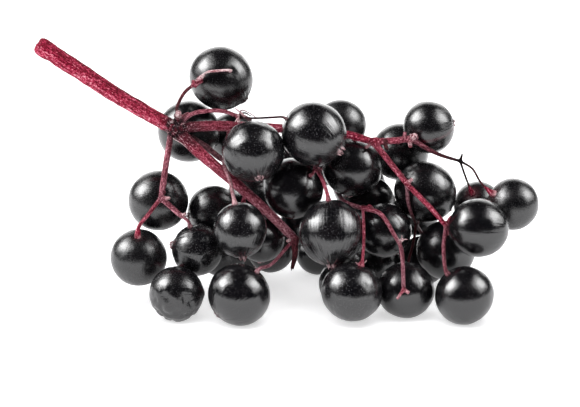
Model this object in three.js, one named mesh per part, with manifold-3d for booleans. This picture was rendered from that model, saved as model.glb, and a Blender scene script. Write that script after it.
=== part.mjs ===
// Elderberry cluster: a cut sprig of ripe elderberries, lying on its lowest berries.
// Millimetres, +Z up. The origin is under the middle of the cluster, on the surface it lies on.
// One stalk carries every berry. Each berry is a solid of its own, a hair clear of the stalk.

import * as THREE from "three";
import { mergeVertices } from "three/addons/utils/BufferGeometryUtils.js";
import Module from "manifold-3d";

const wasm = await Module();
wasm.setup();

// ---- Driving dimensions ----

const cutStalkThickness = 2.0; // where the sprig was cut
const nodeThickness = 1.6; // where the main stalk parts into its rays
const axisThickness = 1.4; // of the main stalk beyond the node
const axisEndThickness = 0.95;
const rayThickness = [1.2, 0.8]; // the stout upper ray, from the node to its fork
const sideRayThickness = [0.7, 0.5];
const pedicelThickness = 0.42; // the short stalk of one berry
const fineThickness = 0.24; // the driest, thinnest stalks
const receptacleFlare = 1.5; // how much a stalk widens where it meets its berry
const flareLength = 0.8;
const berryClearance = 0.09; // between a stalk's end and its berry's skin
const restFlat = 0.12; // how far a resting berry is pressed flat

const berryLength = 0.97; // from stem side to tip, for one unit across
const scarHeight = 0.07; // the dried flower scar at the tip, in radii

// ---- Forks of the stalk ----

const cutEnd = [-27.4, 1.7, 28.4];
const node = [-12.4, -0.7, 19.5];
const axisEnd = [0.7, -4.3, 7.9];
const axisShoot = [-5.2, -1.0, 9.3];
const leftFork = [-14.0, -4.0, 12.5];
const topLump = [-9.9, 1.0, 24.6];
const archEnd = [-5.5, -0.9, 21.0];
const innerBend = [-7.2, 0.0, 15.8];
const innerMiddle = [1.4, 3.6, 13.9];
const innerFork = [8.3, -4.1, 11.3];
const backFork = [3.5, 8.8, 6.2];
const hangingFork = [3.0, -2.6, 15.6];
const rightFork = [9.5, -1.3, 18.2];
const midRightFork = [13.2, -3.7, 14.0];
const lowRightFork = [17.5, -5.2, 9.6];
const farRightFork = [19.2, -1.0, 15.9];
const deepRightFork = [14.4, -0.5, 8.6];

// ---- Stalk: each limb is a run of points, with its thickness at both ends ----

const mainLimbs = [
  // the cut stalk, and the axis that goes on from the node
  { through: [cutEnd, [-23.1, 1.0, 25.7], [-18.6, 0.2, 22.9], node],
    thick: [cutStalkThickness, nodeThickness] },
  { through: [node, [-9.7, -1.7, 17.0], [-5.3, -3.1, 13.5], [-2.3, -3.8, 10.9], axisEnd],
    thick: [axisThickness, axisEndThickness] },
  // the stout upper ray to the right, and its two arms
  { through: [node, [-9.8, -0.6, 19.8], [-5.3, 0.6, 19.5], [0.2, 1.0, 19.1], [3.8, 0.8, 18.8],
    [6.4, -0.9, 19.0], rightFork], thick: rayThickness },
  { through: [rightFork, [11.4, -0.9, 18.2], [13.7, -1.1, 18.5]], thick: [0.8, 0.7] },
  { through: [[13.7, -1.1, 18.5], [16.6, -1.1, 16.8], farRightFork], thick: [0.6, 0.28] },
  { through: [rightFork, [11.9, -3.0, 15.5], midRightFork, [16.0, -4.9, 11.3], lowRightFork],
    thick: sideRayThickness },
  // the ray down to the left, the ray up, and the arch over the node
  { through: [[-12.9, -0.9, 19.4], [-13.4, -2.2, 16.5], leftFork], thick: [0.74, 0.64] },
  { through: [leftFork, [-12.7, -4.8, 11.5], [-11.7, -5.2, 10.7]], thick: [0.62, 0.54] },
  { through: [node, [-12.3, -0.5, 21.2]], thick: [0.66, 0.6] },
  { through: [[-12.3, -0.5, 21.2], [-12.3, 0.1, 21.8], [-11.5, 0.8, 23.3], topLump], thick: [0.4, 0.46] },
  { through: [node, [-11.7, -0.9, 20.4], [-10.6, -1.0, 21.3], [-8.8, -1.2, 21.7], [-7.0, -1.1, 21.6],
    archEnd], thick: [0.5, 0.44] },
  // the inner ray, which passes behind the front berries and comes out again low down
  { through: [node, [-9.2, -0.1, 17.4], innerBend, [-2.9, 2.4, 13.8], innerMiddle, [4.2, 2.8, 13.7],
    [5.6, 1.1, 11.8], [6.5, -2.9, 11.6], innerFork], thick: [0.7, 0.5] },
  { through: [innerFork, [10.2, -5.2, 11.0], [11.7, -6.2, 8.9], [12.4, -8.3, 7.9], [12.6, -11.9, 4.2]],
    thick: [0.5, 0.44] },
  { through: [innerMiddle, [3.2, 5.8, 11.3], [3.5, 7.5, 8.8], backFork], thick: [0.6, 0.46] },
  { through: [midRightFork, [13.3, -3.4, 12.1], [13.7, -2.8, 10.5], deepRightFork], thick: [0.46, 0.36] },
  { through: [[1.9, 0.4, 19.0], [2.4, 0.1, 17.2], hangingFork], thick: [0.42, 0.38] },
  { through: [[-4.6, -2.7, 12.8], [-5.0, -1.1, 11.0], axisShoot], thick: [0.5, 0.4] },
];

// Broken and dried ends that berries have dropped from.
const brokenStubs = [
  { through: [axisEnd, [0.8, -5.0, 6.2], [0.5, -5.6, 4.9]], thick: [0.9, 0.4] },
  { through: [axisEnd, [0.0, -5.3, 7.9]], thick: [0.4, 0.34] },
  { through: [leftFork, [-13.1, -4.6, 12.6]], thick: [0.4, 0.34] },
  { through: [[-11.7, -5.2, 10.7], [-11.3, -5.5, 11.0]], thick: [0.4, 0.36] },
  { through: [rightFork, [8.7, -2.2, 17.8]], thick: [0.44, 0.38] },
  { through: [[10.7, -1.2, 18.2], [11.0, -1.8, 17.5]], thick: [0.5, 0.4] },
  { through: [[12.9, -1.1, 18.4], [13.0, -1.3, 19.2]], thick: [0.44, 0.38] },
  { through: [[13.7, -1.1, 18.5], [14.0, -1.8, 19.0]], thick: [0.6, 0.62] },
  { through: [[13.5, -1.2, 18.4], [13.6, -1.7, 17.8]], thick: [0.48, 0.42] },
  { through: [farRightFork, [19.4, -1.0, 16.7]], thick: [0.22, 0.18] },
  { through: [midRightFork, [13.7, -4.0, 14.6]], thick: [0.4, 0.34] },
  { through: [[12.2, -7.3, 8.3], [12.6, -7.6, 8.7]], thick: [0.4, 0.34] },
  { through: [[12.6, -11.9, 4.3], [11.9, -12.3, 3.4]], thick: [0.34, 0.28] },
  { through: [[12.6, -11.9, 4.3], [13.1, -12.1, 4.0]], thick: [0.38, 0.34] },
  { through: [archEnd, [-5.4, -1.6, 20.5]], thick: [0.4, 0.34] },
  { through: [node, [-12.9, -1.0, 20.4]], thick: [0.6, 0.4] },
];

// ---- Berries ----
// at: the centre, or [x, y] for a berry that rests on the surface. across: its width.
// stem and tip: the ways that its stem side and its flower scar face; the tip is opposite if not given.
// from, via: where its stalk leaves the limbs, and the points that it passes.

const berries = [
  // upper left, on the ray up and the node
  { at: [-7.5, 4.2, 24.2], across: 7.0, length: 1.04, stem: [0.3, -0.8, 0.4], tip: [0.7, -0.3, -0.6],
    from: topLump, via: [[-9.1, 0.7, 25.4], [-7.7, 0.6, 25.7]], thick: 0.32 },
  { at: [-11.2, 4.9, 17.9], across: 7.0, stem: [0.0, -0.7, 0.7],
    from: [-12.0, -0.6, 20.3], via: [[-11.6, 1.0, 20.6]] },
  { at: [-6.4, 8.8, 16.4], across: 5.4, stem: [-0.1, -0.9, 0.4],
    from: [-5.8, 0.6, 19.5], via: [[-5.9, 3.3, 18.7]] },

  // on the arch
  { at: [-3.8, -4.5, 17.9], across: 6.9, stem: [-0.1, 0.6, 0.8], tip: [0.2, -0.6, -0.7],
    from: archEnd, via: [[-5.0, -1.2, 21.1]] },
  { at: [2.9, -3.4, 19.6], across: 7.0, length: 1.05, stem: [-0.9, 0.0, 0.5], tip: [0.8, -0.5, -0.4],
    from: archEnd, via: [[-3.9, -2.2, 21.1], [-1.7, -3.1, 21.4]], thick: fineThickness },

  // left, on the ray down
  { at: [-14.5, -0.4, 11.2], across: 6.7, stem: [0.2, -0.8, 0.5], from: leftFork, via: [] },
  { at: [-16.6, -3.6, 5.5], across: 6.3, length: 1.0, stem: [0.0, -0.4, 0.9], tip: [0.0, 0.1, -1.0],
    from: leftFork, via: [[-15.4, -4.8, 10.8], [-16.4, -5.3, 9.6]], thick: 0.44 },
  { at: [-10.0, -5.0, 6.8], across: 5.8, stem: [-0.3, 0.0, 1.0], tip: [-1.0, 0.0, 0.2],
    from: [-11.8, -5.2, 10.8], via: [[-11.3, -5.4, 10.5], [-10.9, -5.5, 10.1]], thick: 0.36 },

  // below the axis
  { at: [-8.3, 0.5, 9.6], across: 6.1, stem: [1.0, 0.2, 0.1], from: [-5.0, -1.0, 10.5], via: [] },
  { at: [-5.2, -7.6, 9.8], across: 5.8, length: 1.06, stem: [-0.2, 0.1, 1.0], tip: [0.1, -0.5, -0.9],
    from: innerBend, via: [[-6.9, -3.0, 15.5], [-6.4, -4.0, 14.5], [-6.1, -5.4, 13.5]] },
  { at: [-3.0, -2.4, 7.3], across: 5.3, stem: [0.0, 0.0, 1.0], from: [-2.9, -3.6, 11.4], via: [] },
  { at: [-12.2, -9.1], across: 6.1, stem: [0.0, 0.8, 0.6], tip: [1.0, -0.2, 0.1],
    from: axisShoot, via: [[-6.3, -1.3, 6.9], [-9.3, -1.5, 4.9], [-11.1, -3.5, 3.7]] },
  { at: [-5.3, -10.7], across: 6.9, stem: [0.6, 0.0, 0.8], tip: [-0.7, -0.3, -0.6],
    from: axisEnd, via: [[-0.5, -6.1, 6.9], [-1.9, -8.6, 6.1]], thick: 0.38 },
  { at: [-2.0, 2.6, 4.7], across: 5.4, stem: [0.6, -0.1, 0.8], from: axisEnd, via: [[0.6, -0.8, 7.5]] },
  { at: [-7.5, 3.6, 4.0], across: 5.6, stem: [0.3, -0.1, 0.9], from: axisShoot, via: [[-5.4, 1.0, 8.0]] },

  // middle, on the stout ray and the fork that hangs from it
  { at: [6.0, 6.3, 18.3], across: 5.8, stem: [-0.2, -0.9, -0.3],
    from: [4.1, 0.6, 18.8], via: [[5.1, 1.7, 18.4]] },
  { at: [7.2, -0.1, 15.0], across: 6.7, stem: [0.1, 0.0, 1.0], from: [8.6, -1.3, 18.4], via: [] },
  { at: [0.6, -1.5, 12.9], across: 6.8, stem: [0.6, -0.5, 0.6], from: hangingFork, via: [], thick: 0.3 },
  { at: [4.8, -7.3, 9.4], across: 7.0, length: 1.05, stem: [-0.1, 0.2, 1.0], tip: [0.0, -0.5, -0.9],
    from: hangingFork, via: [[3.8, -4.9, 14.8]] },

  // on the inner ray
  { at: [-4.1, 4.8, 10.2], across: 5.7, stem: [0.0, -0.2, 1.0],
    from: [-4.5, 1.5, 14.3], via: [[-4.3, 2.6, 13.9]] },
  { at: [-0.9, 9.8, 13.6], across: 5.1, stem: [0.0, -0.9, 0.4],
    from: [-2.9, 2.4, 13.8], via: [[-1.6, 5.0, 13.9]] },
  { at: [8.3, 12.0, 9.7], across: 6.3, stem: [-0.7, -0.5, -0.5],
    from: [3.5, 7.5, 8.8], via: [[4.7, 8.8, 8.1]] },
  { at: [4.6, 8.2, 13.3], across: 5.1, stem: [-0.1, -1.0, 0.0],
    from: [4.2, 2.8, 13.7], via: [[4.9, 4.6, 13.3]] },
  { at: [1.4, 6.5, 6.5], across: 4.8, stem: [0.6, 0.0, 0.8], from: [3.5, 7.5, 8.8], via: [] },
  { at: [3.5, 8.8], across: 5.2, stem: [0.0, 0.0, 1.0], from: backFork, via: [] },
  { at: [6.3, -4.4], across: 5.7, stem: [0.0, 0.6, 0.8], from: backFork, via: [[5.9, 3.4, 5.8]] },
  { at: [9.6, 8.2, 5.2], across: 5.3, stem: [-0.9, -0.3, 0.4], from: backFork, via: [[5.6, 8.5, 6.0]] },
  { at: [9.1, 3.7, 9.8], across: 6.2, stem: [-0.2, -0.9, 0.1],
    from: [7.6, -3.6, 11.4], via: [[8.0, -1.8, 10.7]] },
  { at: [10.7, -2.4, 8.3], across: 6.2, stem: [-0.5, -0.1, 0.9], from: innerFork, via: [[8.9, -3.7, 11.3]] },
  { at: [7.0, -10.6, 3.6], across: 6.7, length: 0.96, stem: [0.3, 0.1, 0.9],
    from: innerFork, via: [[8.3, -7.8, 10.6], [8.3, -9.0, 8.9]], thick: 0.34 },

  // right, on the arms of the stout ray
  { at: [15.8, 1.8, 19.1], across: 5.9, stem: [-0.6, -0.8, -0.2], tip: [1.0, 0.0, 0.2],
    from: [13.4, -1.1, 18.5], via: [], thick: 0.6 },
  { at: [12.8, 6.1, 15.2], across: 6.5, stem: [-0.1, -0.8, 0.6],
    from: [12.7, -1.0, 18.3], via: [[12.7, 1.0, 17.9]] },
  { at: [15.4, 0.1, 12.1], across: 6.7, length: 1.06, stem: [-0.8, -0.2, 0.6],
    from: [12.1, -3.0, 15.3], via: [[12.4, -2.3, 15.0]] },
  { at: [21.5, 2.5, 9.9], across: 5.4, stem: [-0.3, -0.6, 0.7],
    from: farRightFork, via: [[19.8, -0.3, 14.1]], thick: fineThickness },
  { at: [25.1, -1.9, 11.2], across: 5.8, stem: [-0.8, -0.3, 0.5], tip: [0.7, 0.5, -0.5],
    from: farRightFork, via: [[20.5, -1.5, 15.2], [21.4, -2.6, 13.9]], thick: fineThickness },
  { at: [21.0, -6.4, 9.7], across: 6.4, length: 1.04, stem: [-0.8, 0.5, 0.2], tip: [1.0, 0.2, -0.1],
    from: lowRightFork, via: [], thick: 0.36 },
  { at: [17.7, -1.9, 5.9], across: 6.6, stem: [0.0, -0.6, 0.8], from: lowRightFork, via: [] },
  { at: [19.3, -10.3], across: 6.5, stem: [-0.6, 0.0, 0.8],
    from: lowRightFork, via: [[17.1, -7.5, 8.0], [17.1, -9.1, 6.8]] },
  { at: [14.7, 7.4, 7.7], across: 5.4, stem: [0.0, -1.0, -0.2],
    from: deepRightFork, via: [[14.5, 2.0, 7.8]] },
  { at: [15.4, 4.5], across: 5.8, stem: [0.0, -0.1, 1.0], from: deepRightFork, via: [[14.9, 2.8, 7.0]] },
  { at: [13.0, -8.0], across: 6.3, stem: [0.1, 0.9, 0.3], tip: [0.0, 0.2, -1.0],
    from: deepRightFork, via: [[14.1, -0.9, 6.4], [13.5, -2.6, 4.8]], thick: 0.32 },

  // low at the back, between the others
  { at: [9.6, 2.6], across: 6.2, stem: [-0.5, 0.0, 0.9], from: [5.9, 3.4, 5.8], via: [[7.1, 3.0, 6.3]] },
  { at: [-4.7, 8.5], across: 5.0, stem: [0.0, -0.5, 0.9],
    from: axisShoot, via: [[-5.4, 1.0, 8.0], [-4.9, 4.2, 6.5]] },
];

// ---- Materials ----

const berrySkin = new THREE.MeshStandardMaterial({ color: 0x0d0c12, roughness: 0.22, metalness: 0 });
const stalkSkin = new THREE.MeshStandardMaterial({ color: 0x7a1638, roughness: 0.6, metalness: 0 });

// ---- Solids ----

const mainSides = 7;
const pedicelSides = 6;
const stepLength = 1.6; // between the rings of a limb
const domeHeight = 0.35; // of a limb's rounded end, in radii
const domeWidth = 0.6;
const weldDistance = 1e-4;
const berrySides = 14;
const berryRings = [0, 24, 50, 76, 102, 128, 152, 170, 180]; // degrees from the stem side

function toVector(point) {
  return new THREE.Vector3(...point);
}

function solidFrom(geometry) {
  geometry.deleteAttribute("normal");
  geometry.deleteAttribute("uv");
  const merged = mergeVertices(geometry, weldDistance);
  const corners = merged.index.array;
  const kept = [];
  for (let i = 0; i < corners.length; i += 3) {
    const [a, b, c] = [corners[i], corners[i + 1], corners[i + 2]];
    if (a !== b && b !== c && c !== a) kept.push(a, b, c);
  }
  const vertProperties = Float32Array.from(merged.attributes.position.array);
  return new wasm.Manifold(new wasm.Mesh({ numProp: 3, vertProperties, triVerts: Uint32Array.from(kept) }));
}

function geometryFrom(solid) {
  const { vertProperties, triVerts } = solid.getMesh();
  const geometry = new THREE.BufferGeometry();
  geometry.setAttribute("position", new THREE.BufferAttribute(vertProperties, 3));
  geometry.setIndex(new THREE.BufferAttribute(triVerts, 1));
  geometry.computeVertexNormals();
  return geometry;
}

// A round tapered tube with domed ends: a closed cylinder whose rings are moved onto the curve.
function limbSolid({ through, thick, sides = mainSides, flare = 1 }) {
  const points = through.map(toVector);
  const curve = points.length > 2 ? new THREE.CatmullRomCurve3(points) : new THREE.LineCurve3(...points);
  const length = curve.getLength();
  const steps = Math.max(2, Math.round(length / stepLength));
  const geometry = new THREE.CylinderGeometry(1, 1, 1, sides, steps + 2);
  const position = geometry.attributes.position;
  const vertex = new THREE.Vector3();
  const across = new THREE.Vector3(0.31, 0.87, 0.38);
  const frames = [];
  for (let ring = 0; ring <= steps; ring += 1) {
    const t = ring / steps;
    const along = curve.getTangent(t);
    across.addScaledVector(along, -across.dot(along)).normalize();
    const widening = 1 + (flare - 1) * Math.max(0, 1 - ((1 - t) * length) / flareLength);
    const radius = (THREE.MathUtils.lerp(thick[0], thick[1], t) / 2) * widening;
    const up = along.clone().cross(across);
    frames.push({ centre: curve.getPoint(t), along, across: across.clone(), up, radius });
  }
  for (let i = 0; i < position.count; i += 1) {
    vertex.fromBufferAttribute(position, i);
    const ring = Math.round((0.5 - vertex.y) * (steps + 2)) - 1;
    const frame = frames[THREE.MathUtils.clamp(ring, 0, steps)];
    const beyond = ring < 0 ? -1 : ring > steps ? 1 : 0;
    const domed = frame.radius * (beyond === 0 ? 1 : domeWidth);
    const place = frame.centre.clone().addScaledVector(frame.along, beyond * frame.radius * domeHeight);
    place.addScaledVector(frame.across, vertex.x * domed).addScaledVector(frame.up, vertex.z * domed);
    position.setXYZ(i, place.x, place.y, place.z);
  }
  return solidFrom(geometry);
}

function berryCentre({ at, across }) {
  return at.length === 3 ? toVector(at) : new THREE.Vector3(at[0], at[1], across / 2 - restFlat);
}

// The stalk of one berry ends just clear of the skin, on the stem side.
function pedicelLimb(berry) {
  const stem = toVector(berry.stem).normalize();
  const thick = berry.thick ?? pedicelThickness;
  const skinReach = (berry.across / 2) * Math.max(1, berry.length ?? berryLength);
  const reach = skinReach + berryClearance + (thick / 2) * receptacleFlare * domeHeight;
  const end = berryCentre(berry).addScaledVector(stem, reach);
  const through = [berry.from, ...berry.via, end.toArray()];
  return { through, thick: [thick, thick], sides: pedicelSides, flare: receptacleFlare };
}

function stalkMesh() {
  const limbs = [...mainLimbs, ...brokenStubs, ...berries.map(pedicelLimb)];
  const stalk = wasm.Manifold.union(limbs.map(limbSolid));
  const mesh = new THREE.Mesh(geometryFrom(stalk), stalkSkin.clone());
  mesh.name = "stalk";
  return mesh;
}

// A berry is turned about the line from its stem side to its tip, where the flower scar stands out.
function berryMesh(berry, index) {
  const { across, stem, length = berryLength } = berry;
  const radius = across / 2;
  const profile = berryRings.map((degrees) => {
    const angle = THREE.MathUtils.degToRad(degrees);
    const scar = degrees === 180 ? 1 + scarHeight : 1;
    return new THREE.Vector2(Math.sin(angle) * radius, Math.cos(angle) * radius * length * scar);
  });
  profile[0].x = 0;
  profile[profile.length - 1].x = 0;
  const geometry = new THREE.LatheGeometry(profile.reverse(), berrySides);
  const tip = berry.tip ? toVector(berry.tip).normalize() : toVector(stem).normalize().negate();
  geometry.applyQuaternion(new THREE.Quaternion().setFromUnitVectors(new THREE.Vector3(0, -1, 0), tip));
  const centre = berryCentre(berry);
  let skin = solidFrom(geometry);
  if (berry.at.length === 2) {
    const ground = new THREE.BoxGeometry(across * 2, across * 2, across * 2);
    ground.translate(0, 0, -centre.z - across);
    skin = skin.subtract(solidFrom(ground));
  }
  const mesh = new THREE.Mesh(geometryFrom(skin), berrySkin.clone());
  mesh.name = `berry_${String(index + 1).padStart(2, "0")}`;
  mesh.position.copy(centre);
  return mesh;
}

const cluster = new THREE.Group();
cluster.add(stalkMesh(), ...berries.map(berryMesh));

export default cluster;
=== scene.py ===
"""An elderberry cluster: ripe berries on one cut crimson stalk, lying on its lowest berries."""

import math

import bpy
from mathutils import Matrix, Vector, noise
from mathutils.kdtree import KDTree


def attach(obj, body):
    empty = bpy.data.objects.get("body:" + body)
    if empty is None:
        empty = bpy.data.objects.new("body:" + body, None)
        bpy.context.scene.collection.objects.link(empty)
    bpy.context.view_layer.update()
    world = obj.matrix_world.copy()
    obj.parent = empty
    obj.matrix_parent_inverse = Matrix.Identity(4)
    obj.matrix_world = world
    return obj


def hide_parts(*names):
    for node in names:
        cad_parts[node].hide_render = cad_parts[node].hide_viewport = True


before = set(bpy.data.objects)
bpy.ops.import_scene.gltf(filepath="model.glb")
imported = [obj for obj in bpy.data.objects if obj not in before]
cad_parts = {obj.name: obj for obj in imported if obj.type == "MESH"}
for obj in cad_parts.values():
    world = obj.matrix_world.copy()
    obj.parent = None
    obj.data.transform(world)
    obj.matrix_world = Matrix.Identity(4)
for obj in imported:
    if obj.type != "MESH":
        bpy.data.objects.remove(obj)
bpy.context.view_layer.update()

MM = 0.001  # the tables are in millimetres, and Blender works in metres

# ---- Camera ----

LOOK_AT = (0.25, -2.8, 11.51)
CAMERA_DISTANCE = 300
CAMERA_HEIGHT_ANGLE = 15  # degrees above the surface
LENS = 167.6
SENSOR = 36
CLIP_START, CLIP_END = 0.01, 10  # metres

# ---- Forks of the stalk, as in the solids ----

CUT_END = (-27.4, 1.7, 28.4)
NODE = (-12.4, -0.7, 19.5)
AXIS_END = (0.7, -4.3, 7.9)
AXIS_SHOOT = (-5.2, -1.0, 9.3)
LEFT_FORK = (-14.0, -4.0, 12.5)
TOP_LUMP = (-9.9, 1.0, 24.6)
ARCH_END = (-5.5, -0.9, 21.0)
INNER_BEND = (-7.2, 0.0, 15.8)
INNER_MIDDLE = (1.4, 3.6, 13.9)
INNER_FORK = (8.3, -4.1, 11.3)
BACK_FORK = (3.5, 8.8, 6.2)
HANGING_FORK = (3.0, -2.6, 15.6)
RIGHT_FORK = (9.5, -1.3, 18.2)
MID_RIGHT_FORK = (13.2, -3.7, 14.0)
LOW_RIGHT_FORK = (17.5, -5.2, 9.6)
FAR_RIGHT_FORK = (19.2, -1.0, 15.9)
DEEP_RIGHT_FORK = (14.4, -0.5, 8.6)

# ---- Rows of the tables ----

REST_FLAT = 0.12  # how far a resting berry is pressed flat
FIBRE_TAPER = 0.55  # how thick a thread still is near its point

# A limb, unless its row says otherwise. A pair is for its start and its end.
LIMB_LOOKS = dict(
    start="dome", end="dome",  # the shapes of its ends
    swell=1.0,  # how much it widens where it leaves its parent
    flare=0.0, flare_length=1.0,  # how much it widens towards its end, and over what length
    rugged=0.035,  # how uneven it is, in radii
    dry=(0.25, 0.25),  # 0 is fresh, 0.9 is brown and 1.2 is nearly black
    dull=(0.35, 0.35),  # how dusky its bark is; on limbs in the cluster's shade this also paints that shade
    fresh=0.0,  # how much of the drying stops short of its end
    pale=0.0,  # how pale the scar at its end is
    bare=(0.0, 0.0),  # how pale it is where its bark is worn
)

# A berry and its stalk, unless the row says otherwise.
BERRY_LOOKS = dict(
    length=0.97,  # from stalk to tip, as a share of its width
    wrinkles=0.12,  # how crumpled its skin is, on the side that the row calls creased
    pleats=1.0, bloom=0.3, dust=0.15,  # the pleats, the haze and the specks of its skin
    flush=0.35, halo=0.0, seam=0.0,  # how red it is beside its scar, round its stalk and along a seam
    crown=1.0, scar=1.0,  # how far its sepals stand out, and how light they are
    pinch=0.0, ring=0.0,  # how far its tip is drawn out, and how deep the groove round it is
    thick=0.42, flare=0.62, flare_length=0.85, dry=(0.2, 0.1), dull=(0.4, 0.3), fresh=0.0, pale=0.3,
    bare=(0.0, 0.0),  # its stalk, as above
)


def limb(*through, **looks):
    """A limb, from the places that it runs through."""
    return {**LIMB_LOOKS, "through": [Vector(place) for place in through], **looks}


def stub(*through, **looks):
    """A broken or dried end that a berry has dropped from. It ends in a cup unless it says otherwise."""
    return limb(*through, **{"end": "cup", **looks})


def fibre(*through, pale, thick=0.09, dry=0.3):
    """A loose thread or a torn rim of bark, as pale all along."""
    return limb(*through, thick=(thick, thick * FIBRE_TAPER), end="point", rugged=0.12, dry=(dry, dry),
                bare=(pale, pale))


def fruit(at, across, stem, *through, tip=None, creased=None, **looks):
    """A berry, from its centre (two numbers where it rests on the surface), its width, the side that its
    stalk is on and the places that the stalk runs through. Its tip is opposite unless tip says otherwise."""
    resting = len(at) == 2
    stem = Vector(stem).normalized()
    return {**BERRY_LOOKS, "radius": across / 2, "resting": resting, "stem": stem, "through": through,
            "centre": Vector((*at, across / 2 - REST_FLAT) if resting else at),
            "tip": Vector(tip).normalized() if tip else -stem,
            "creased": Vector(creased).normalized() if creased else None, **looks}


# ---- Limbs ----

MAIN_LIMBS = [
    limb(CUT_END, (-23.1, 1, 25.7), (-18.6, 0.2, 22.9), NODE, thick=(2.0, 1.6), start="cut", dry=(0.1, 0.15),
         dull=(0.0, 0.1), rugged=0.055),
    limb(NODE, (-9.7, -1.7, 17), (-5.3, -3.1, 13.5), (-2.3, -3.8, 10.9), AXIS_END, thick=(1.4, 0.95),
         dry=(0.15, 0.3), dull=(0.0, 0.85)),
    limb(NODE, (-9.8, -0.6, 19.8), (-5.3, 0.6, 19.5), (0.2, 1, 19.1), (3.8, 0.8, 18.8), (6.4, -0.9, 19),
         RIGHT_FORK, thick=(1.2, 0.8), dry=(0.3, 0.1), dull=(0.4, 0.1)),
    limb(RIGHT_FORK, (11.4, -0.9, 18.2), (13.7, -1.1, 18.5), thick=(0.8, 0.7), dry=(0.2, 0.3),
         dull=(0.1, 0.5)),
    limb((13.7, -1.1, 18.5), (16.6, -1.1, 16.8), FAR_RIGHT_FORK, thick=(0.6, 0.28), dry=(0.45, 1.2),
         dull=(0.7, 0.3)),
    limb(RIGHT_FORK, (11.9, -3, 15.5), MID_RIGHT_FORK, (16, -4.9, 11.3), LOW_RIGHT_FORK, thick=(0.7, 0.5),
         dry=(0.2, 0.1), dull=(0.35, 0.1)),
    limb((-12.9, -0.9, 19.4), (-13.4, -2.2, 16.5), LEFT_FORK, thick=(0.74, 0.64), dry=(0.4, 0.2),
         dull=(0.55, 0.65)),
    limb(LEFT_FORK, (-12.7, -4.8, 11.5), (-11.7, -5.2, 10.7), thick=(0.62, 0.54), dry=(0.3, 0.35),
         dull=(0.7, 0.6)),
    limb(NODE, (-12.3, -0.5, 21.2), thick=(0.66, 0.6), dry=(0.4, 0.6)),
    limb((-12.3, -0.5, 21.2), (-12.3, 0.1, 21.8), (-11.5, 0.8, 23.3), TOP_LUMP, thick=(0.36, 0.42), swell=0.3,
         dry=(0.95, 0.7)),
    limb(NODE, (-11.7, -0.9, 20.4), (-10.6, -1, 21.3), (-8.8, -1.2, 21.7), (-7, -1.1, 21.6), ARCH_END,
         thick=(0.5, 0.44), dry=(0.4, 0.2), dull=(0.6, 0.5)),
    # the inner limb's dusk and dryness partly paint the shade it lies in beside the axis
    limb(NODE, (-9.2, -0.1, 17.4), INNER_BEND, (-2.9, 2.4, 13.8), INNER_MIDDLE, (4.2, 2.8, 13.7),
         (5.6, 1.1, 11.8), (6.5, -2.9, 11.6), INNER_FORK, thick=(0.7, 0.5), dry=(0.75, 0.4), dull=(0.9, 0.8)),
    limb(INNER_FORK, (10.2, -5.2, 11), (11.7, -6.2, 8.9), (12.4, -8.3, 7.9), (12.6, -11.9, 4.2),
         thick=(0.5, 0.44), dry=(0.1, 0.0), dull=(0.4, 0.8)),
    limb(INNER_MIDDLE, (3.2, 5.8, 11.3), (3.5, 7.5, 8.8), BACK_FORK, thick=(0.6, 0.46), dry=(0.2, 0.2)),
    # this limb's dryness and dusk, darkening to near black at its end, partly paint the shade deep in the
    # cluster
    limb(MID_RIGHT_FORK, (13.3, -3.4, 12.1), (13.7, -2.8, 10.5), DEEP_RIGHT_FORK, thick=(0.46, 0.36),
         dry=(0.3, 1.0), dull=(0.9, 0.8)),
    limb((1.9, 0.4, 19), (2.4, 0.1, 17.2), HANGING_FORK, thick=(0.42, 0.38), dry=(0.3, 0.2)),
    limb((-4.6, -2.7, 12.8), (-5, -1.1, 11), AXIS_SHOOT, thick=(0.5, 0.4), dry=(0.3, 0.3)),
]

BROKEN_STUBS = [
    stub(AXIS_END, (0.8, -5, 6.2), (0.5, -5.6, 4.9), thick=(0.9, 0.4), end="torn", dry=(0.75, 1.0),
         dull=(0.5, 0.3)),
    stub(AXIS_END, (0, -5.3, 7.9), thick=(0.4, 0.34), dry=(0.6, 0.5), pale=0.8),
    stub(LEFT_FORK, (-13.1, -4.6, 12.6), thick=(0.4, 0.34), pale=0.7),
    stub((-11.7, -5.2, 10.7), (-11.3, -5.5, 11), thick=(0.4, 0.36), pale=0.9),
    stub(RIGHT_FORK, (8.7, -2.2, 17.8), thick=(0.44, 0.38), dry=(0.4, 0.7), pale=0.25),
    stub((10.7, -1.2, 18.2), (11, -1.8, 17.5), thick=(0.5, 0.4), dry=(0.8, 1.0)),
    stub((12.9, -1.1, 18.4), (13, -1.3, 19.2), thick=(0.44, 0.38), pale=0.15),
    stub((13.7, -1.1, 18.5), (14, -1.8, 19), thick=(0.6, 0.62), pale=1.2),
    stub((13.5, -1.2, 18.4), (13.6, -1.7, 17.8), thick=(0.48, 0.42), pale=0.5),
    stub(FAR_RIGHT_FORK, (19.4, -1, 16.7), thick=(0.3, 0.2), end="point", dry=(1.3, 1.2)),
    stub(MID_RIGHT_FORK, (13.7, -4, 14.6), thick=(0.4, 0.34), pale=0.6),
    stub((12.2, -7.3, 8.3), (12.6, -7.6, 8.7), thick=(0.4, 0.34), pale=0.9),
    stub((12.6, -11.9, 4.3), (11.9, -12.3, 3.4), thick=(0.34, 0.28), pale=0.5),
    stub((12.6, -11.9, 4.3), (13.1, -12.1, 4), thick=(0.38, 0.34), pale=0.3),
    stub(ARCH_END, (-5.4, -1.6, 20.5), thick=(0.4, 0.34), pale=0.9),
    stub(NODE, (-12.9, -1, 20.4), thick=(0.6, 0.4), dry=(0.7, 0.6), pale=0.6),
    stub((-12.2, -0.7, 21), (-12.1, -1.1, 21.4), thick=(0.5, 0.62), end="dome", pale=0.75),
    stub((-10.4, 0.8, 24.3), (-9.6, 0.7, 24.7), thick=(0.66, 0.6), end="dome", dry=(0.1, 0.1), rugged=0.2),
    stub((-9.9, 0.8, 24.8), (-9.3, 0.6, 25.4), thick=(0.5, 0.42), end="dome", bare=(0.6, 1.2)),
]

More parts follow.
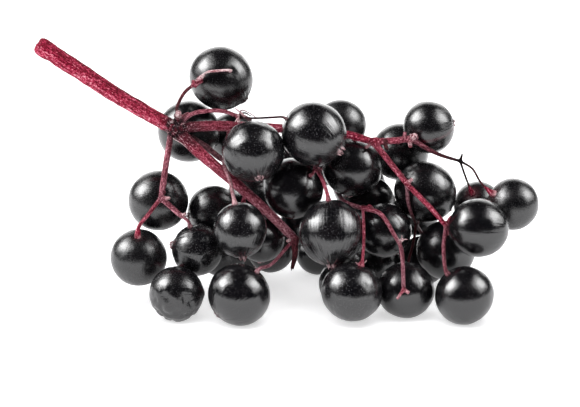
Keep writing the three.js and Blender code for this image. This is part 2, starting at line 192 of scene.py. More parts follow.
FIBRES = [
    fibre((-4.6, -1.6, 21.1), (-4.9, -1.7, 21.3), (-5.2, -1.6, 21.6), (-5.5, -1.5, 21.8), (-5.8, -1.2, 22),
          thick=0.24, dry=0.6, pale=0.55),
    fibre((-5.3, -1.1, 21.3), (-5.1, -1.4, 21.85), (-4.3, -1.7, 21.6), (-3.5, -2.3, 21.2), thick=0.18,
          dry=0.9, pale=0.4),
    fibre((-5.4, -1, 21.2), (-4.8, -1.3, 21.5), (-4.1, -1.9, 21.3), thick=0.22, dry=1.1, pale=0.0),
    fibre((-5.5, -1.1, 21.2), (-5.4, -1.6, 21.1), (-5.7, -1.8, 20.8), (-5.8, -1.8, 20.6), thick=0.2,
          pale=0.9),
    fibre((17.8, -5.4, 9.5), (18.1, -5.9, 9.2), (18.8, -6.2, 8.7), thick=0.1, dry=0.7, pale=0.4),
    fibre((7.9, -9.6, 6.6), (7.6, -9.8, 6.6), (7.4, -9.9, 6.8), thick=0.12, pale=0.5),
    fibre((8.2, -9.6, 6.6), (8.4, -9.8, 6.7), (8.6, -9.9, 7), thick=0.12, pale=1.0),
    fibre((14, -1.6, 18.9), (14.2, -1.8, 19), (14.3, -1.9, 19.2), thick=0.16, pale=1.0),
    fibre((13.7, -1.5, 19), (13.6, -1.9, 19.2), (13.5, -2, 19.2), thick=0.14, pale=1.0),
    fibre((-13.3, -1.2, 19.3), (-12.7, -1.4, 18.6), (-11.8, -1.6, 18.1), (-10.5, -1.8, 17), pale=1.0),
    fibre((12.3, -7.5, 8.6), (12.1, -7.8, 8.9), (12, -7.9, 9.1), pale=0.9),
    fibre((12.6, -7.6, 8.7), (12.9, -7.8, 8.8), (13.1, -7.9, 8.8), pale=0.9),
    fibre((12.4, -7.5, 8.7), (12.5, -7.9, 9), (12.5, -8, 9.3), thick=0.08, pale=0.9),
    fibre((-13, -1.2, 20.2), (-13.2, -1.4, 20.3), (-13.3, -1.5, 20.5), dry=0.8, pale=0.4),
    fibre((-11.8, -1.5, 20.2), (-11.6, -1.7, 20.4), (-11.4, -1.8, 20.4), dry=0.8, pale=0.5),
    fibre((-12.3, -1.7, 19.3), (-12.5, -1.9, 19.4), (-12.7, -1.9, 19.5), dry=0.8, pale=0.5),
    fibre((0.5, -5.5, 5), (0.4, -5.7, 4.8), (0.4, -5.8, 4.6), thick=0.14, dry=1.0, pale=0.2),
]

# ---- Berries, numbered from 1 in this order ----

BERRIES = [
    fruit((-7.5, 4.2, 24.2), 7.0, (0.3, -0.8, 0.4), TOP_LUMP, (-9.1, 0.7, 25.6), (-7.7, 0.6, 25.85),
          tip=(0.7, -0.3, -0.6), length=1.04, thick=0.28, flare=0.15, dry=(0.2, 0.0), bare=(0.85, 0.95),
          bloom=0.7, crown=0.6, scar=0.25, flush=0.0, pinch=0.05),
    fruit((-11.2, 4.9, 17.9), 7.0, (0, -0.7, 0.7), (-12, -0.6, 20.3), (-11.6, 1, 20.6), bloom=0.5),
    fruit((-6.4, 8.8, 16.4), 5.4, (-0.1, -0.9, 0.4), (-5.8, 0.6, 19.5), (-5.9, 3.3, 18.7)),
    fruit((-3.8, -4.5, 17.9), 6.9, (-0.1, 0.6, 0.8), ARCH_END, (-5, -1.2, 21.1), tip=(0.2, -0.6, -0.7),
          dry=(1.0, 1.1), wrinkles=0.5, dust=1.0, crown=0.8),
    fruit((2.9, -3.4, 19.6), 7.0, (-0.9, 0, 0.5), ARCH_END, (-3.9, -2.2, 21.1), (-1.7, -3.1, 21.4),
          tip=(0.8, -0.5, -0.4), length=1.05, thick=0.24, dry=(1.2, 0.8), dust=1.0, crown=1.4),
    fruit((-14.5, -0.4, 11.2), 6.7, (0.2, -0.8, 0.5), LEFT_FORK, bloom=0.9),
    fruit((-16.6, -3.6, 5.5), 6.3, (0, -0.4, 0.9), LEFT_FORK, (-15.4, -4.8, 10.8), (-16.4, -5.3, 9.6),
          tip=(0, 0.1, -1), length=1.0, thick=0.44, pale=0.5, bloom=0.9, fresh=1.0, flare=0.75,
          flare_length=1.6),
    fruit((-10, -5, 6.8), 5.8, (-0.3, 0, 1), (-11.8, -5.2, 10.8), (-11.3, -5.4, 10.5), (-10.9, -5.5, 10.1),
          tip=(-1, 0, 0.2), thick=0.36, wrinkles=0.5, bloom=0.35, dust=1.0, crown=1.2, pinch=0.05, flush=1.0,
          dull=(0.6, 0.8)),
    fruit((-8.3, 0.5, 9.6), 6.1, (1, 0.2, 0.1), (-5, -1, 10.5), bloom=0.5),
    fruit((-5.2, -7.6, 9.8), 5.8, (-0.2, 0.1, 1), INNER_BEND, (-6.9, -3, 15.5), (-6.4, -4, 14.5),
          (-6.1, -5.4, 13.5), tip=(0.1, -0.5, -0.9), length=1.06, dust=0.9, crown=1.6, flush=1.0,
          bare=(0.0, 0.6), dull=(0.8, 0.3), ring=1.0),
    fruit((-3, -2.4, 7.3), 5.3, (0, 0, 1), (-2.9, -3.6, 11.4), bloom=0.5),
    fruit((-12.2, -9.1), 6.1, (0, 0.8, 0.6), AXIS_SHOOT, (-6.3, -1.3, 6.9), (-9.3, -1.5, 4.9),
          (-11.1, -3.5, 3.7), tip=(1, -0.2, 0.1), wrinkles=2.2, creased=(-0.1, -0.75, -0.65), crown=0.0,
          pinch=0.09, bloom=0.2),
    fruit((-5.3, -10.7), 6.9, (0.6, 0, 0.8), AXIS_END, (-0.5, -6.1, 6.9), (-1.9, -8.6, 6.1),
          tip=(-0.7, -0.3, -0.6), thick=0.38, crown=0.4, scar=0.25, bloom=0.0, dust=0.5, dull=(0.6, 0.9)),
    fruit((-2, 2.6, 4.7), 5.4, (0.6, -0.1, 0.8), AXIS_END, (0.6, -0.8, 7.5), bloom=0.7),
    fruit((-7.5, 3.6, 4), 5.6, (0.3, -0.1, 0.9), AXIS_SHOOT, (-5.4, 1, 8), bloom=0.7),
    fruit((6, 6.3, 18.3), 5.8, (-0.2, -0.9, -0.3), (4.1, 0.6, 18.8), (5.1, 1.7, 18.4), bloom=1.0),
    fruit((7.2, -0.1, 15), 6.7, (0.1, 0, 1), (8.6, -1.3, 18.4), bloom=0.5),
    fruit((0.6, -1.5, 12.9), 6.8, (0.6, -0.5, 0.6), HANGING_FORK, thick=0.3),
    fruit((4.8, -7.3, 9.4), 7.0, (-0.1, 0.2, 1), HANGING_FORK, (3.8, -4.9, 14.8), tip=(0, -0.5, -0.9),
          length=1.05, dust=0.9, pleats=2.6, flush=1.6, crown=1.5, ring=0.4),
    fruit((-4.1, 4.8, 10.2), 5.7, (0, -0.2, 1), (-4.5, 1.5, 14.3), (-4.3, 2.6, 13.9), bloom=0.8),
    fruit((-0.9, 9.8, 13.6), 5.1, (0, -0.9, 0.4), (-2.9, 2.4, 13.8), (-1.6, 5, 13.9)),
    fruit((8.3, 12, 9.7), 6.3, (-0.7, -0.5, -0.5), (3.5, 7.5, 8.8), (4.7, 8.8, 8.1)),
    fruit((4.6, 8.2, 13.3), 5.1, (-0.1, -1, 0), (4.2, 2.8, 13.7), (4.9, 4.6, 13.3)),
    fruit((1.4, 6.5, 6.5), 4.8, (0.6, 0, 0.8), (3.5, 7.5, 8.8)),
    fruit((3.5, 8.8), 5.2, (0, 0, 1), BACK_FORK),
    fruit((6.3, -4.4), 5.7, (0, 0.6, 0.8), BACK_FORK, (5.9, 3.4, 5.8)),
    fruit((9.6, 8.2, 5.2), 5.3, (-0.9, -0.3, 0.4), BACK_FORK, (5.6, 8.5, 6)),
    fruit((9.1, 3.7, 9.8), 6.2, (-0.2, -0.9, 0.1), (7.6, -3.6, 11.4), (8, -1.8, 10.7), dry=(0.8, 1.0)),
    fruit((10.7, -2.4, 8.3), 6.2, (-0.5, -0.1, 0.9), INNER_FORK, (8.9, -3.7, 11.3), bloom=0.4),
    fruit((7, -10.6, 3.6), 6.7, (0.3, 0.1, 0.9), INNER_FORK, (8.3, -7.8, 10.6), (8.3, -9, 8.9), length=0.96,
          thick=0.34, wrinkles=0.3, pale=0.15, dust=0.9, crown=0.0, flare=1.5, flare_length=0.9,
          dull=(0.5, 0.2)),
    fruit((15.8, 1.8, 19.1), 5.9, (-0.6, -0.8, -0.2), (13.4, -1.1, 18.5), tip=(1, 0, 0.2), thick=0.6,
          bloom=0.7, seam=1.0, crown=0.8),
    fruit((12.8, 6.1, 15.2), 6.5, (-0.1, -0.8, 0.6), (12.7, -1, 18.3), (12.7, 1, 17.9), bloom=0.7),
    fruit((15.4, 0.1, 12.1), 6.7, (-0.8, -0.2, 0.6), (12.1, -3, 15.3), (12.4, -2.3, 15), length=1.06,
          bloom=0.5),
    fruit((21.5, 2.5, 9.9), 5.4, (-0.3, -0.6, 0.7), FAR_RIGHT_FORK, (19.8, -0.3, 14.1), thick=0.24,
          dry=(1.2, 0.9), bloom=0.9, fresh=1.0, halo=0.5, flare=2.0, flare_length=1.5),
    fruit((25.1, -1.9, 11.2), 5.8, (-0.8, -0.3, 0.5), FAR_RIGHT_FORK, (20.5, -1.5, 15.2), (21.4, -2.6, 13.9),
          tip=(0.7, 0.5, -0.5), thick=0.24, dry=(1.2, 0.6), bloom=0.9, fresh=1.0, halo=0.3, crown=0.0,
          flare=2.9, flare_length=1.7, pale=0.8),
    fruit((21, -6.4, 9.7), 6.4, (-0.8, 0.5, 0.2), LOW_RIGHT_FORK, tip=(1, 0.2, -0.1), length=1.04, thick=0.36,
          crown=0.0),
    fruit((17.7, -1.9, 5.9), 6.6, (0, -0.6, 0.8), LOW_RIGHT_FORK),
    fruit((19.3, -10.3), 6.5, (-0.6, 0, 0.8), LOW_RIGHT_FORK, (17.1, -7.5, 8), (17.1, -9.1, 6.8), pale=0.1,
          dry=(0.2, 0.7), bloom=0.4, crown=0.0, dull=(0.7, 0.5)),
    fruit((14.7, 7.4, 7.7), 5.4, (0, -1, -0.2), DEEP_RIGHT_FORK, (14.5, 2, 7.8), dry=(1.0, 1.0)),
    fruit((15.4, 4.5), 5.8, (0, -0.1, 1), DEEP_RIGHT_FORK, (14.9, 2.8, 7), dry=(1.0, 1.0)),
    # this berry's stalk is dried dark and dusky, partly as painted shade deep in the cluster
    fruit((13, -8), 6.3, (0.1, 0.9, 0.3), DEEP_RIGHT_FORK, (14.1, -0.9, 6.4), (13.5, -2.6, 4.8),
          tip=(0, 0.2, -1), thick=0.32, dry=(1.0, 0.9), bloom=0.4, crown=0.0, dull=(0.8, 0.8)),
    fruit((9.6, 2.6), 6.2, (-0.5, 0, 0.9), (5.9, 3.4, 5.8), (7.1, 3, 6.3), bloom=0.5),
    fruit((-4.7, 8.5), 5.0, (0, -0.5, 0.9), AXIS_SHOOT, (-5.4, 1, 8), (-4.9, 4.2, 6.5), bloom=0.5),
]


# ---- Helpers ----

def enter(mode):
    bpy.ops.object.mode_set(mode=mode)


def clear_selection():
    """Object mode, with nothing selected and nothing active."""
    if bpy.context.object is not None and bpy.context.object.mode != "OBJECT":
        enter("OBJECT")
    bpy.ops.object.select_all(action="DESELECT")
    bpy.context.view_layer.objects.active = None


def take(*pieces):
    """Selects these pieces alone and makes the first one active."""
    clear_selection()
    for piece in pieces:
        piece.select_set(True)
    bpy.context.view_layer.objects.active = pieces[0]


def edit_where(piece, kind, chosen):
    """Edit mode, with only the chosen faces or vertices of a piece selected."""
    take(piece)
    enter("EDIT")
    bpy.ops.mesh.select_mode(type=kind)
    bpy.ops.mesh.select_all(action="DESELECT")
    enter("OBJECT")
    for element in piece.data.polygons if kind == "FACE" else piece.data.vertices:
        element.select = chosen(element)
    enter("EDIT")


def smooth_step(low, high, value):
    share = min(1.0, max(0.0, (value - low) / (high - low)))
    return share * share * (3 - 2 * share)


def between(ends, share):
    """The value at a share of the way from the first end to the last."""
    return ends[0] * (1 - share) + ends[1] * share


def hump(offset, width):
    """A smooth rise to 1 at no offset, next to nothing at twice the width."""
    return math.exp(-((offset / width) ** 2))


def wave(x, y, z):
    """Smooth seedless noise between about -1 and 1."""
    return noise.noise(Vector((x, y, z)))


def store(mesh, name, values):
    """Keeps a number or a vector for each vertex, or one number for all of them, as a named attribute."""
    if isinstance(values, float):
        values = [values] * len(mesh.vertices)
    vectors = len(values) > len(mesh.vertices)
    layer = mesh.attributes.new(name, "FLOAT_VECTOR" if vectors else "FLOAT", "POINT")
    layer.data.foreach_set("vector" if vectors else "value", values)


def stored(mesh, name, count, kind="value"):
    """The values of a named attribute."""
    values = [0.0] * count
    mesh.attributes[name].data.foreach_get(kind, values)
    return values


# ---- Shader nodes ----

def feed(node, inputs):
    """Links each input of a node to the output given for it, or sets it to the constant given."""
    for key, value in inputs.items():
        if isinstance(value, bpy.types.NodeSocket):
            node.id_data.links.new(value, node.inputs[key])
        else:
            node.inputs[key].default_value = value


def add(tree, kind, inputs=(), **settings):
    """The outputs of a new node."""
    made = tree.nodes.new("ShaderNode" + kind)
    for key, value in settings.items():
        setattr(made, key, value)
    feed(made, dict(inputs))
    return made.outputs


def new_material(name):
    """A material with its node tree and its shader."""
    material = bpy.data.materials.new(name)
    material.use_nodes = True
    return material, material.node_tree, material.node_tree.nodes["Principled BSDF"]


def colour_ramp(tree, factor, stops):
    """A colour that runs through the stops as the factor goes up."""
    colour = add(tree, "ValToRGB", {"Fac": factor})["Color"]
    points = colour.node.color_ramp.elements
    points[0].position, points[0].color = stops[0][0], (*stops[0][1], 1)
    points[1].position, points[1].color = stops[-1][0], (*stops[-1][1], 1)
    for position, shade in stops[1:-1]:
        points.new(position).color = (*shade, 1)
    return colour


def attribute(tree, name, output="Fac"):
    return add(tree, "Attribute", attribute_name=name)[output]


def stretched(tree, vector, scale):
    return add(tree, "Mapping", {"Vector": vector, "Scale": scale})["Vector"]


def millimetres_of(tree):
    """Places on the piece, in millimetres."""
    return stretched(tree, add(tree, "TexCoord")["Object"], (1 / MM, 1 / MM, 1 / MM))


def noise_of(tree, vector, scale, detail=3.0, roughness=0.55, distortion=0.0):
    return add(tree, "TexNoise", {"Vector": vector, "Scale": scale, "Detail": detail,
                                  "Roughness": roughness, "Distortion": distortion})["Fac"]


def mix_colour(tree, factor, a, b):
    """Goes from one colour to the other as the factor goes from 0 to 1."""
    a, b = ((*colour, 1) if isinstance(colour, tuple) else colour for colour in (a, b))
    return add(tree, "Mix", {"Factor": factor, "A": a, "B": b}, data_type="RGBA")["Result"]


def layered(tree, colour, *layers):
    """The colour with each layer's colour laid over it by that layer's factor."""
    for factor, over in layers:
        colour = mix_colour(tree, factor, colour, over)
    return colour


def ranged(tree, value, low, high, out_low=0.0, out_high=1.0, kind="LINEAR"):
    """Goes from one number to the other as the value goes from low to high."""
    return add(tree, "MapRange", {"Value": value, "From Min": low, "From Max": high, "To Min": out_low,
                                  "To Max": out_high}, interpolation_type=kind)[0]


def combine(tree, operation, a, b=0.0):
    return add(tree, "Math", {0: a, 1: b}, operation=operation)[0]


def times(tree, a, b):
    return combine(tree, "MULTIPLY", a, b)


def blended(tree, share, a, b):
    """Goes from one number to the other as the share goes from 0 to 1."""
    return combine(tree, "ADD", a, times(tree, share, combine(tree, "SUBTRACT", b, a)))


def bumped(tree, height, distance, strength, **under):
    """The normal with this relief on it. The distance is in metres."""
    inputs = {"Height": height, "Distance": distance, "Strength": strength, **under}
    return add(tree, "Bump", inputs)["Normal"]


# ---- Surface, light and camera ----

SHEET_HALF_WIDTH, SHEET_BACK, SHEET_FRONT = 0.7, 0.6, -0.085  # metres
SHEET_COLOUR = (0.86, 0.86, 0.87, 1)
SHADE_REACH = (26 * MM, 12 * MM)  # half the length and depth of the cluster's shade on the sheet
SHADE_SHIFT = (0.0, -0.1, 0.0)
# Distances, counted in SHADE_REACH, and how dark the painted shade and how bright the painted open sheet is
# at each, in the glow that the berries' gloss sees.
SHADE_FADE, OPEN_SHEET = (0.6, 1.1, 0.45, 0.0), (1.4, 3.0, 1.0, 1.7)

# What the berries mirror, and what lights matt surfaces from all round, besides the lights.
DARK_FRONT = (0.015, 0.015, 0.016)
BRIGHT_BACKDROP = (2.6, 2.6, 2.6)
ALL_ROUND = (0.45, 0.45, 0.46)
WHITE = (1.0, 1.0, 1.0)
# Where the mirrored backdrop fades in: back from the middle, down from the top and in from the sides.
BACK_EDGE, TOP_EDGE, SIDE_EDGE = (0.05, 0.35), (0.66, 0.42), (0.62, 0.3)

LIGHTS_AIM = (0, -3, 11)
# Name, place, size, how bright its face is, whether the gloss mirrors it and whether it lights matt surfaces.
LIGHTS = [
    ("sheet_light", (0, 0, 500), (700, 600), 1.0, False, True),
    ("left_window", (-310, -10, 262), (230, 200), 15, True, False),
    ("left_glow", (-320, -10, 270), (440, 400), 4, True, False),
    ("right_window", (315, -20, 255), (200, 190), 8, True, False),
    ("right_glow", (325, -20, 263), (400, 380), 4, True, False),
    ("overhead_soft", (0, -130, 400), (480, 420), 2.3, False, True),
    ("left_soft", (-330, -120, 240), (320, 320), 2.4, False, True),
]


def rectangle_light(name, place, size, radiance, seen_in_gloss, lights_matt):
    """A soft rectangular light. Its power comes from how bright its face is."""
    clear_selection()
    bpy.ops.object.light_add(type="AREA", location=[v * MM for v in place])
    lamp = bpy.context.object
    lamp.name = name
    lamp.data.shape = "RECTANGLE"
    lamp.data.size, lamp.data.size_y = size[0] * MM, size[1] * MM
    lamp.data.energy = radiance * math.pi * lamp.data.size * lamp.data.size_y
    lamp.rotation_euler = (Vector(LIGHTS_AIM) - Vector(place)).to_track_quat("-Z", "Y").to_euler()
    lamp.visible_camera = False
    lamp.visible_glossy = seen_in_gloss
    lamp.visible_diffuse = lights_matt
    return lamp


def set_lights(sheet):
    """All the lights. The first one lights the sheet alone."""
    sheet_light = [rectangle_light(*row) for row in LIGHTS][0]
    sheet_only = bpy.data.collections.new("sheet_only")
    sheet_only.objects.link(sheet)
    sheet_light.light_linking.receiver_collection = sheet_only


def set_camera():
    clear_selection()
    tilt = math.radians(CAMERA_HEIGHT_ANGLE)
    reach = Vector((0, -math.cos(tilt), math.sin(tilt))) * CAMERA_DISTANCE
    bpy.ops.object.camera_add(location=(Vector(LOOK_AT) + reach) * MM, rotation=(math.pi / 2 - tilt, 0, 0))
    camera = bpy.context.object
    camera.name = "camera"
    camera.data.lens = LENS
    camera.data.sensor_width = SENSOR
    camera.data.clip_start = CLIP_START
    camera.data.clip_end = CLIP_END
    bpy.context.scene.camera = camera


def make_surface():
    """A white sheet under the cluster. Its near edge lies a hand's width in front of it."""
    clear_selection()
    bpy.ops.mesh.primitive_plane_add(size=2, location=(0, 0, 0))
    sheet = bpy.context.object
    sheet.name = "white_surface"
    for corner in sheet.data.vertices:
        corner.co.x *= SHEET_HALF_WIDTH
        corner.co.y = SHEET_BACK if corner.co.y > 0 else SHEET_FRONT
    paper, tree, shader = new_material("white_paper")
    # in the berries' gloss, the sheet's glow is painted dark where the cluster would shade it, as painted
    # shade, and painted brighter further off
    scale = (1 / SHADE_REACH[0], 1 / SHADE_REACH[1], 0.0)
    place = add(tree, "Mapping", {"Vector": add(tree, "TexCoord")["Object"], "Location": SHADE_SHIFT,
                                  "Scale": scale})["Vector"]
    away = add(tree, "VectorMath", {0: place}, operation="LENGTH")["Value"]
    unshaded = combine(tree, "SUBTRACT", 1.0, ranged(tree, away, *SHADE_FADE))
    mirrored = times(tree, unshaded, ranged(tree, away, *OPEN_SHEET))
    glow = mix_colour(tree, add(tree, "LightPath")["Is Glossy Ray"], WHITE, mirrored)
    feed(shader, {"Base Color": SHEET_COLOUR, "Roughness": 0.9, "Specular IOR Level": 0.0,
                  "Emission Color": glow, "Emission Strength": 0.6})
    sheet.data.materials.append(paper)
    return sheet


def set_world():
    """White behind the cluster, dark in front, so the berries mirror a bright backdrop only at their rims."""
    world = bpy.data.worlds.new("studio")
    bpy.context.scene.world = world
    world.use_nodes = True
    tree = world.node_tree
    tree.nodes.clear()
    way = add(tree, "SeparateXYZ", {"Vector": add(tree, "TexCoord")["Generated"]})
    behind = ranged(tree, way["Y"], *BACK_EDGE, kind="SMOOTHSTEP")
    below_top = ranged(tree, way["Z"], *TOP_EDGE, kind="SMOOTHSTEP")
    not_beside = ranged(tree, combine(tree, "ABSOLUTE", way["X"]), *SIDE_EDGE, kind="SMOOTHSTEP")
    backdrop = times(tree, not_beside, times(tree, behind, below_top))
    ray = add(tree, "LightPath")
    mirrored = mix_colour(tree, backdrop, DARK_FRONT, BRIGHT_BACKDROP)
    matt_or_mirror = mix_colour(tree, ray["Is Glossy Ray"], ALL_ROUND, mirrored)
    seen = mix_colour(tree, ray["Is Camera Ray"], matt_or_mirror, WHITE)
    add(tree, "OutputWorld", {"Surface": add(tree, "Background", {"Color": seen})[0]})


set_camera()
white_surface = make_surface()
set_world()
set_lights(white_surface)
bpy.context.scene.view_settings.view_transform = "Standard"


# ---- Berries: a round of faces, with a crown of dried sepals cut into its tip ----

BERRY_SIDES = 64
BERRY_RINGS = 44
CAP_RINGS = 4  # the rings about the tip that are cut anew
CAP_REACH = 0.3  # the new rings, which are flat as cut, lie nearer to the axis than this
SEED_GAP = 11.7  # between the noise of one berry and the next
CROWN_RADII = [0.25, 0.22, 0.195, 0.178, 0.168, 0.161, 0.149, 0.137, 0.128,
               0.105, 0.075, 0.055, 0.046, 0.036, 0.02]
SEPALS = 5

# Relief, in radii of the berry. Angles are in radians from the tip or, for dimple and halo, from the stalk.
SEPAL_HEIGHT, HOLLOW_DEPTH, NUB_HEIGHT = 0.1, 0.02, 0.05
SEPAL_LEAN = 0.45  # how far the sepals close in over the scar
DENT_DEPTH, SMALL_DENT_DEPTH = 0.014, 0.006
PLEAT_HEIGHT, PLEAT_ANGLE, PLEAT_WIDTH = 0.016, 0.27, 0.13
DIP_DEPTH, DIP_WIDTH = 0.018, 0.3
PINCH_WIDTH = 0.2
RING_DEPTH, RING_ANGLE, RING_WIDTH = 0.03, 0.46, 0.07
DIMPLE_DEPTH, DIMPLE_WIDTH = 0.05, 0.13
DIMPLE_RIM_DEPTH, DIMPLE_RIM_WIDTH = 0.022, 0.4
DIMPLE_REACH = 0.075  # how deep the whole dimple is
RIDGE_DEPTH, CREASE_DEPTH = 0.035, 0.02
SEAM_DEPTH, SEAM_WIDTH, SEAM_REDNESS = 0.006, 0.045, 0.35
HALO_WIDTH = 0.27
BURIED = 0.1  # a tip nearer to the surface than this has no crown


def berry_pattern():
    """One berry of radius 1, tip down, whose tip is inset ring by ring for the flower scar."""
    clear_selection()
    bpy.ops.mesh.primitive_uv_sphere_add(segments=BERRY_SIDES, ring_count=BERRY_RINGS, radius=1.0)
    pattern = bpy.context.object
    pattern.name = "berry_pattern"
    cap_angle = math.pi * CAP_RINGS / BERRY_RINGS
    edit_where(pattern, "FACE", lambda face: face.center.z < -math.cos(cap_angle))
    bpy.ops.mesh.dissolve_faces()
    radius = math.sin(cap_angle)
    for inner in CROWN_RADII:
        bpy.ops.mesh.inset(thickness=(radius - inner) * math.cos(math.pi / BERRY_SIDES), depth=0)
        radius = inner
    bpy.ops.mesh.poke()
    enter("OBJECT")
    return pattern


def crown_relief(reach, turn, seed):
    """How far the scar stands out at a distance and a turn about the tip, how dry it is, how deep it lies
    between sepals and middle, and how much of a sepal is there."""
    sepal = math.floor((turn / (2 * math.pi) * SEPALS) + 0.5) % SEPALS
    size = 0.8 + 0.75 * wave(sepal * 3.7, seed, 1.3)
    tooth = max(0.0, abs(math.cos(SEPALS / 2 * turn)) ** 0.8 * size + 0.2 * wave(turn * 2.2, seed, 6))
    lip = smooth_step(0.178, 0.145, reach) * smooth_step(0.09, 0.135, reach)
    hollow = smooth_step(0.135, 0.1, reach) * smooth_step(0.05, 0.07, reach)
    nub = smooth_step(0.07, 0.03, reach)
    height = SEPAL_HEIGHT * lip * tooth - HOLLOW_DEPTH * hollow + NUB_HEIGHT * nub
    return height, max(lip * smooth_step(0.15, 0.6, tooth), 0.9 * nub), hollow, lip * tooth


def skin_relief(row, seed, way, turn, tip_angle, stem_angle, outward):
    """How far the skin stands out in one direction, in the pattern (way) and in the cluster (outward)."""
    # low dents all round
    dent = 0.008 + DENT_DEPTH * wave(way.x * 1.4 + seed, way.y * 1.4, way.z * 1.4)
    dent += SMALL_DENT_DEPTH * wave(way.x * 3.3, way.y * 3.3 + seed, way.z * 3.3)
    # soft pleats that run out from the scar
    pleat = wave(math.cos(turn) * 3.4, math.sin(turn) * 3.4, seed)
    fade = smooth_step(0.1, 0.2, tip_angle)
    dent += PLEAT_HEIGHT * pleat * hump(tip_angle - PLEAT_ANGLE, PLEAT_WIDTH) * fade
    # the tip, sunk in or drawn out, and the groove round it
    dent -= DIP_DEPTH * hump(tip_angle, DIP_WIDTH)
    dent += row["pinch"] * hump(tip_angle, PINCH_WIDTH)
    dent -= row["ring"] * RING_DEPTH * hump(tip_angle - RING_ANGLE - 0.05 * pleat, RING_WIDTH)
    # the dimple that the stalk sits in
    rim = DIMPLE_RIM_DEPTH * hump(stem_angle, DIMPLE_RIM_WIDTH)
    dent -= DIMPLE_DEPTH * hump(stem_angle, DIMPLE_WIDTH) + rim
    # wrinkles of a berry that is past its best
    shrunk = row["wrinkles"]
    if row["creased"]:
        shrunk *= smooth_step(0.2, 0.62, outward.dot(row["creased"]))
    ridge = 1 - abs(wave(way.x * 1.9 + seed, way.y * 1.9 + 4, way.z * 1.9)) * 2
    crease = 1 - abs(wave(way.x * 3.6, way.y * 3.6 + seed, way.z * 3.6 + 7)) * 2.4
    return dent - shrunk * (RIDGE_DEPTH * max(0, ridge) ** 3 + CREASE_DEPTH * max(0, crease) ** 4)


def ripe_berry(pattern, number, row):
    """One berry: the pattern at its size, turned to its tip, with its own dents, dimple and scar."""
    centre, stem, tip, radius, length = (row[key] for key in ("centre", "stem", "tip", "radius", "length"))
    seed = number * SEED_GAP
    turned = Vector((0, 0, -1)).rotation_difference(tip)
    stem_in_pattern = turned.inverted() @ stem
    crown = 0.0 if centre.z + tip.z * radius * length * 1.08 < BURIED else row["crown"]
    seam_side = tip.cross(Vector((0, -1, -0.3))).normalized()
    take(pattern)
    bpy.ops.object.duplicate()
    berry = bpy.context.object
    berry.name = f"ripe_berry_{number:02d}"
    mesh = berry.data
    places, scars, hollows, meridians, halos = [], [], [], [], []
    for vertex in mesh.vertices:
        way = vertex.co.normalized()
        reach = math.hypot(vertex.co.x, vertex.co.y)
        turn = math.atan2(way.y, way.x) + seed
        scar = hollow = 0.0
        place = way.copy()
        if way.z < 0 and reach < CAP_REACH:
            place = Vector((vertex.co.x, vertex.co.y, -math.sqrt(1 - reach * reach)))
            way = place.copy()
            if crown > 0:
                height, scar, hollow, lean = crown_relief(reach, turn, seed)
                closed = SEPAL_LEAN * lean * (0.6 + 0.8 * wave(seed, turn * 0.6, 2.0)) / max(1.0, crown)
                place = Vector((place.x * (1 - closed), place.y * (1 - closed), place.z - height * crown))
        tip_angle = math.acos(max(-1.0, min(1.0, -way.z)))
        stem_angle = way.angle(stem_in_pattern)
        outward = turned @ way
        seam = row["seam"] * hump(outward.dot(seam_side), SEAM_WIDTH) * (outward.y < 0)
        place *= 1 + skin_relief(row, seed, way, turn, tip_angle, stem_angle, outward) - SEAM_DEPTH * seam
        place = turned @ Vector((place.x * radius, place.y * radius, place.z * radius * length)) + centre
        if row["resting"]:
            place.z = max(place.z, 0.0)
        places.extend(place * MM)
        scars.append(scar * row["scar"])
        hollows.append(hollow)
        halos.append(max(row["halo"] * hump(stem_angle, HALO_WIDTH), SEAM_REDNESS * seam))
        meridians.extend((math.cos(turn), math.sin(turn), tip_angle))
    mesh.vertices.foreach_set("co", places)
    looks = dict(scar=scars, hollow=hollows, halo=halos, meridian=meridians, bloom=row["bloom"],
                 wrinkled=min(1.0, row["wrinkles"]) * 0.6, dust=row["dust"], pleated=row["pleats"],
                 flushed=row["flush"])
    for name, values in looks.items():
        store(mesh, name, values)
    mesh.update()
    take(berry)
    bpy.ops.object.shade_smooth()
    return berry


# ---- Stalk ----

RING_GAP = 0.28  # between the rings of a limb
RUN_SAMPLES = 40  # for each stretch between two points
SIDES = [(0.9, 28), (0.55, 20), (0.22, 14), (0.0, 8)]  # of a tube, by the thickness that it is above
SWELLING = 0.32  # how much a side limb widens where it leaves its parent
SWELLING_LENGTH = 0.9
FIRST_ACROSS = (0.31, 0.87, 0.38)  # the side of a limb that its faces are counted from
GRAIN_GAP = 40  # between the grain of one limb and the next
FIRST_FIBRE = 200  # the number of the first thread
WELD = 0.0005
FRESH_FADE, PALE_FADE = (1.9, 0.9), (0.75, 0.1)  # by the distance to the end of the limb
FORK_FADE = (0.6, 0.3)  # by the distance to a fork
FORK_EASING = ((0.34, 3), (0.2, 4))  # how near to a fork, and how often it is smoothed there
NEIGHBOURS = 5
SKIN_GAP, SINK = 0.28, 0.05  # how far outside its berry's skin a stalk turns in, and how deep it ends

# Ends of a limb, as (how far beyond the last ring, how wide), both in radii.
END_SHAPES = dict(
    dome=[(0.28, 0.93), (0.5, 0.72), (0.62, 0.4), (0.66, 0.0)],
    cup=[(0.16, 1.02), (0.36, 0.94), (0.46, 0.76), (0.38, 0.55), (0.22, 0.34), (0.2, 0.0)],
    point=[(0.3, 0.7), (0.6, 0.42), (0.8, 0.2), (0.9, 0.0)],
    cut=[(0.12, 0.98), (0.26, 0.92), (0.38, 0.83), (0.46, 0.71), (0.49, 0.56), (0.48, 0.38), (0.44, 0.2),
         (0.43, 0.0)],
    torn=[(0.2, 0.96), (0.38, 0.84), (0.45, 0.6), (0.36, 0.34), (0.34, 0.0)],
    flat=[(0.12, 0.96), (0.2, 0.8), (0.22, 0.4), (0.22, 0.0)],
)

